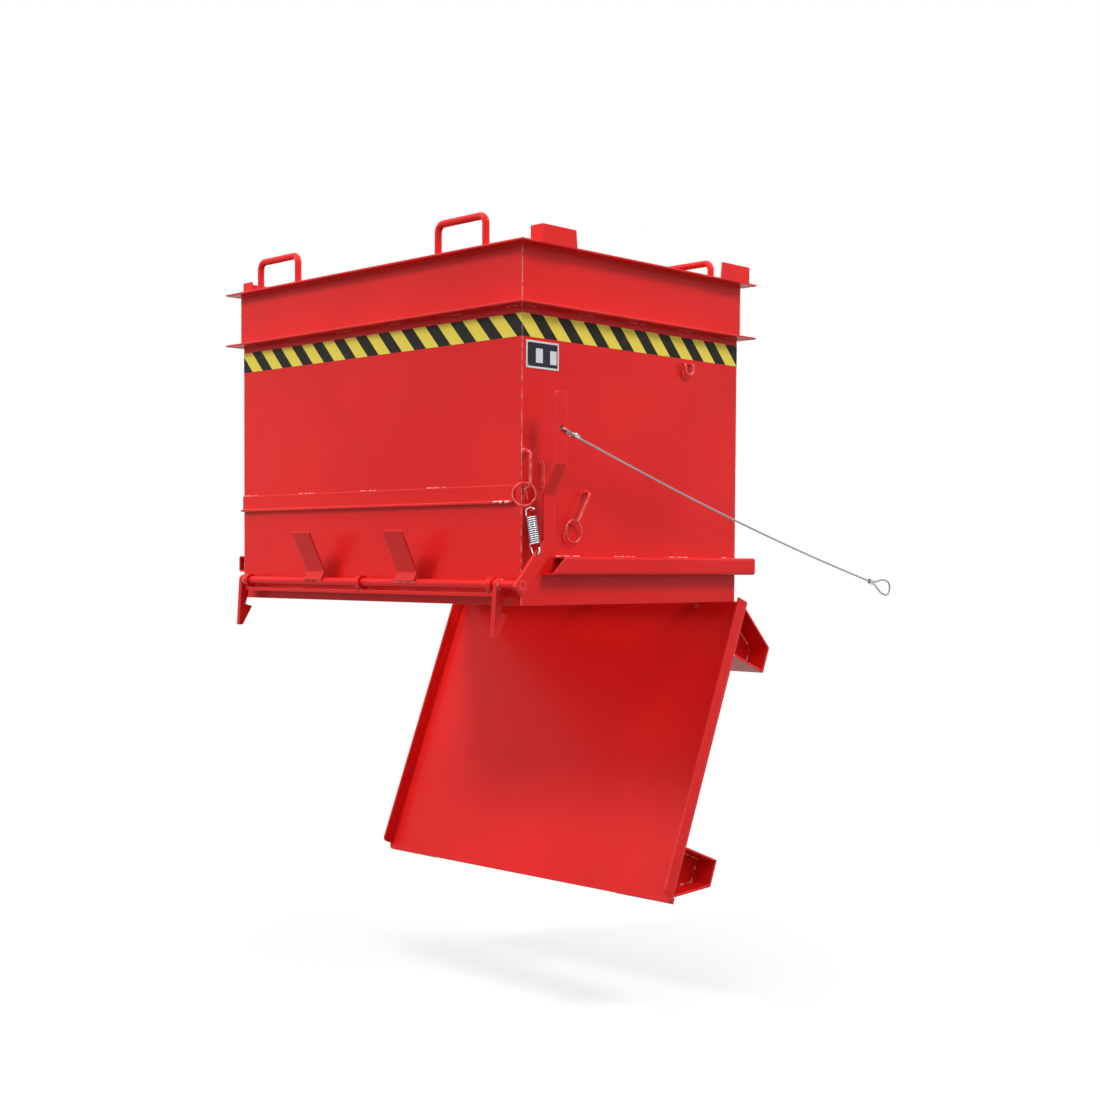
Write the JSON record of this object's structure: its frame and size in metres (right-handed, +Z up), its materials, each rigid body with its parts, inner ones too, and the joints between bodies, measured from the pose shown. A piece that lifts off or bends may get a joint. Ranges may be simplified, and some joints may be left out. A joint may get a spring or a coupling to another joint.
{
  "type": "building material container",
  "caption": "Open-topped steel container for building material with fork bows on its rim and a bottom flap that a rope-pulled latch lets swing down at the rear hinge.",
  "frame": {"origin": "centred on the box in plan, at the height where the bows' crowns rest on the fork tines", "axes": "+Z up, -Y towards the front with the latch shaft, +X towards the side with the release lever"},
  "size_m": [1.3755, 1.7229, 1.9122],
  "materials": {
    "red_paint": "satin enamel",
    "zinc": "zinc plated",
    "wire_rope": "stranded",
    "plate": "dark anodised",
    "rivet": "bright"
  },
  "bodies": {
    "container": {"front_ledge": "red_paint", "front_sill": "red_paint", "hinge_lugs": "red_paint", "hinge_pins": "red_paint", "lever_guide": "red_paint", "lifting_bow_front_left": "red_paint", "lifting_bow_front_right": "red_paint", "lifting_bow_rear_left": "red_paint", "lifting_bow_rear_right": "red_paint", "name_plate": "plate", "plate_rivets": "rivet", "return_spring": "zinc", "rim_front": "red_paint", "rim_left": "red_paint", "rim_rear": "red_paint", "rim_right": "red_paint", "rod_bushes": "red_paint", "rope_eye": "red_paint", "shaft_bearing_left": "red_paint", "shaft_bearing_middle": "red_paint", "shaft_bearing_right": "red_paint", "side_rail_left": "red_paint", "side_rail_right": "red_paint", "spring_post": "red_paint", "stacking_corner_front_left": "red_paint", "stacking_corner_front_right": "red_paint", "stacking_corner_rear_left": "red_paint", "stacking_corner_rear_right": "red_paint", "wall_front": "red_paint", "wall_left": "red_paint", "wall_rear": "red_paint", "wall_right": "red_paint"},
    "flap": {"flap_plate": "red_paint", "flap_lip_left": "red_paint", "flap_lip_right": "red_paint", "catch_bar_left": "red_paint", "catch_bar_right": "red_paint", "skid_front": "red_paint", "skid_rear": "red_paint", "skid_end_plates": "red_paint", "flap_lugs": "red_paint"},
    "latch": {"latch_shaft": "red_paint", "latch_hook_left": "red_paint", "latch_hook_right": "red_paint", "release_lever": "red_paint", "paddle_left": "red_paint", "paddle_right": "red_paint"},
    "rope": {"rope_loop": "wire_rope", "rope_clamp": "zinc", "pull_rope": "wire_rope", "hand_ferrule": "zinc", "hand_loop": "wire_rope"},
    "rod_front": {"safety_rod_front": "red_paint", "rod_split_pin": "red_paint"},
    "rod_rear": {"safety_rod_rear": "red_paint"},
    "ring_front": {"pull_ring_front": "red_paint"},
    "ring_rear": {"pull_ring_rear": "red_paint"}
  },
  "joints": [
    {"name": "flap_hinge", "type": "hinge", "parent": "container", "child": "flap", "pos_m": [0, 0.4868, -1.0048], "axis": [-1, 0, 0], "range_deg": [0, 68.45]},
    {"name": "latch_turn", "type": "hinge", "parent": "container", "child": "latch", "pos_m": [0, -0.4825, -0.962], "axis": [-1, 0, 0], "range_deg": [-10, 15], "stiffness_Nm_per_rad": 30, "springref_deg": -20.05, "deforming": ["return_spring"]},
    {"name": "rope_swing", "type": "hinge", "parent": "latch", "child": "rope", "pos_m": [0.698, -0.3865, -0.554], "axis": [-1, 0, 0], "range_deg": [-15, 10]},
    {"name": "rod_front_swing", "type": "hinge", "parent": "container", "child": "rod_front", "pos_m": [0.62, -0.442, -0.6145], "axis": [-1, 0, 0], "range_deg": [0, 75]},
    {"name": "rod_rear_swing", "type": "hinge", "parent": "container", "child": "rod_rear", "pos_m": [0.62, -0.215, -0.716], "axis": [1, 0, 0], "range_deg": [-30, 90]},
    {"name": "ring_front_swing", "type": "hinge", "parent": "rod_front", "child": "ring_front", "pos_m": [0.634, -0.442, -0.70859], "axis": [0.7071, -0.7071, 0], "range_deg": [-15, 45]},
    {"name": "ring_rear_swing", "type": "hinge", "parent": "rod_rear", "child": "ring_rear", "pos_m": [0.632, -0.26465, -0.79702], "axis": [1, 0, 0], "range_deg": [-45, 45]}
  ],
  "couplings": [
    {"joint": "rope_swing", "follows": "latch_turn", "ratio": -1}
  ]
}
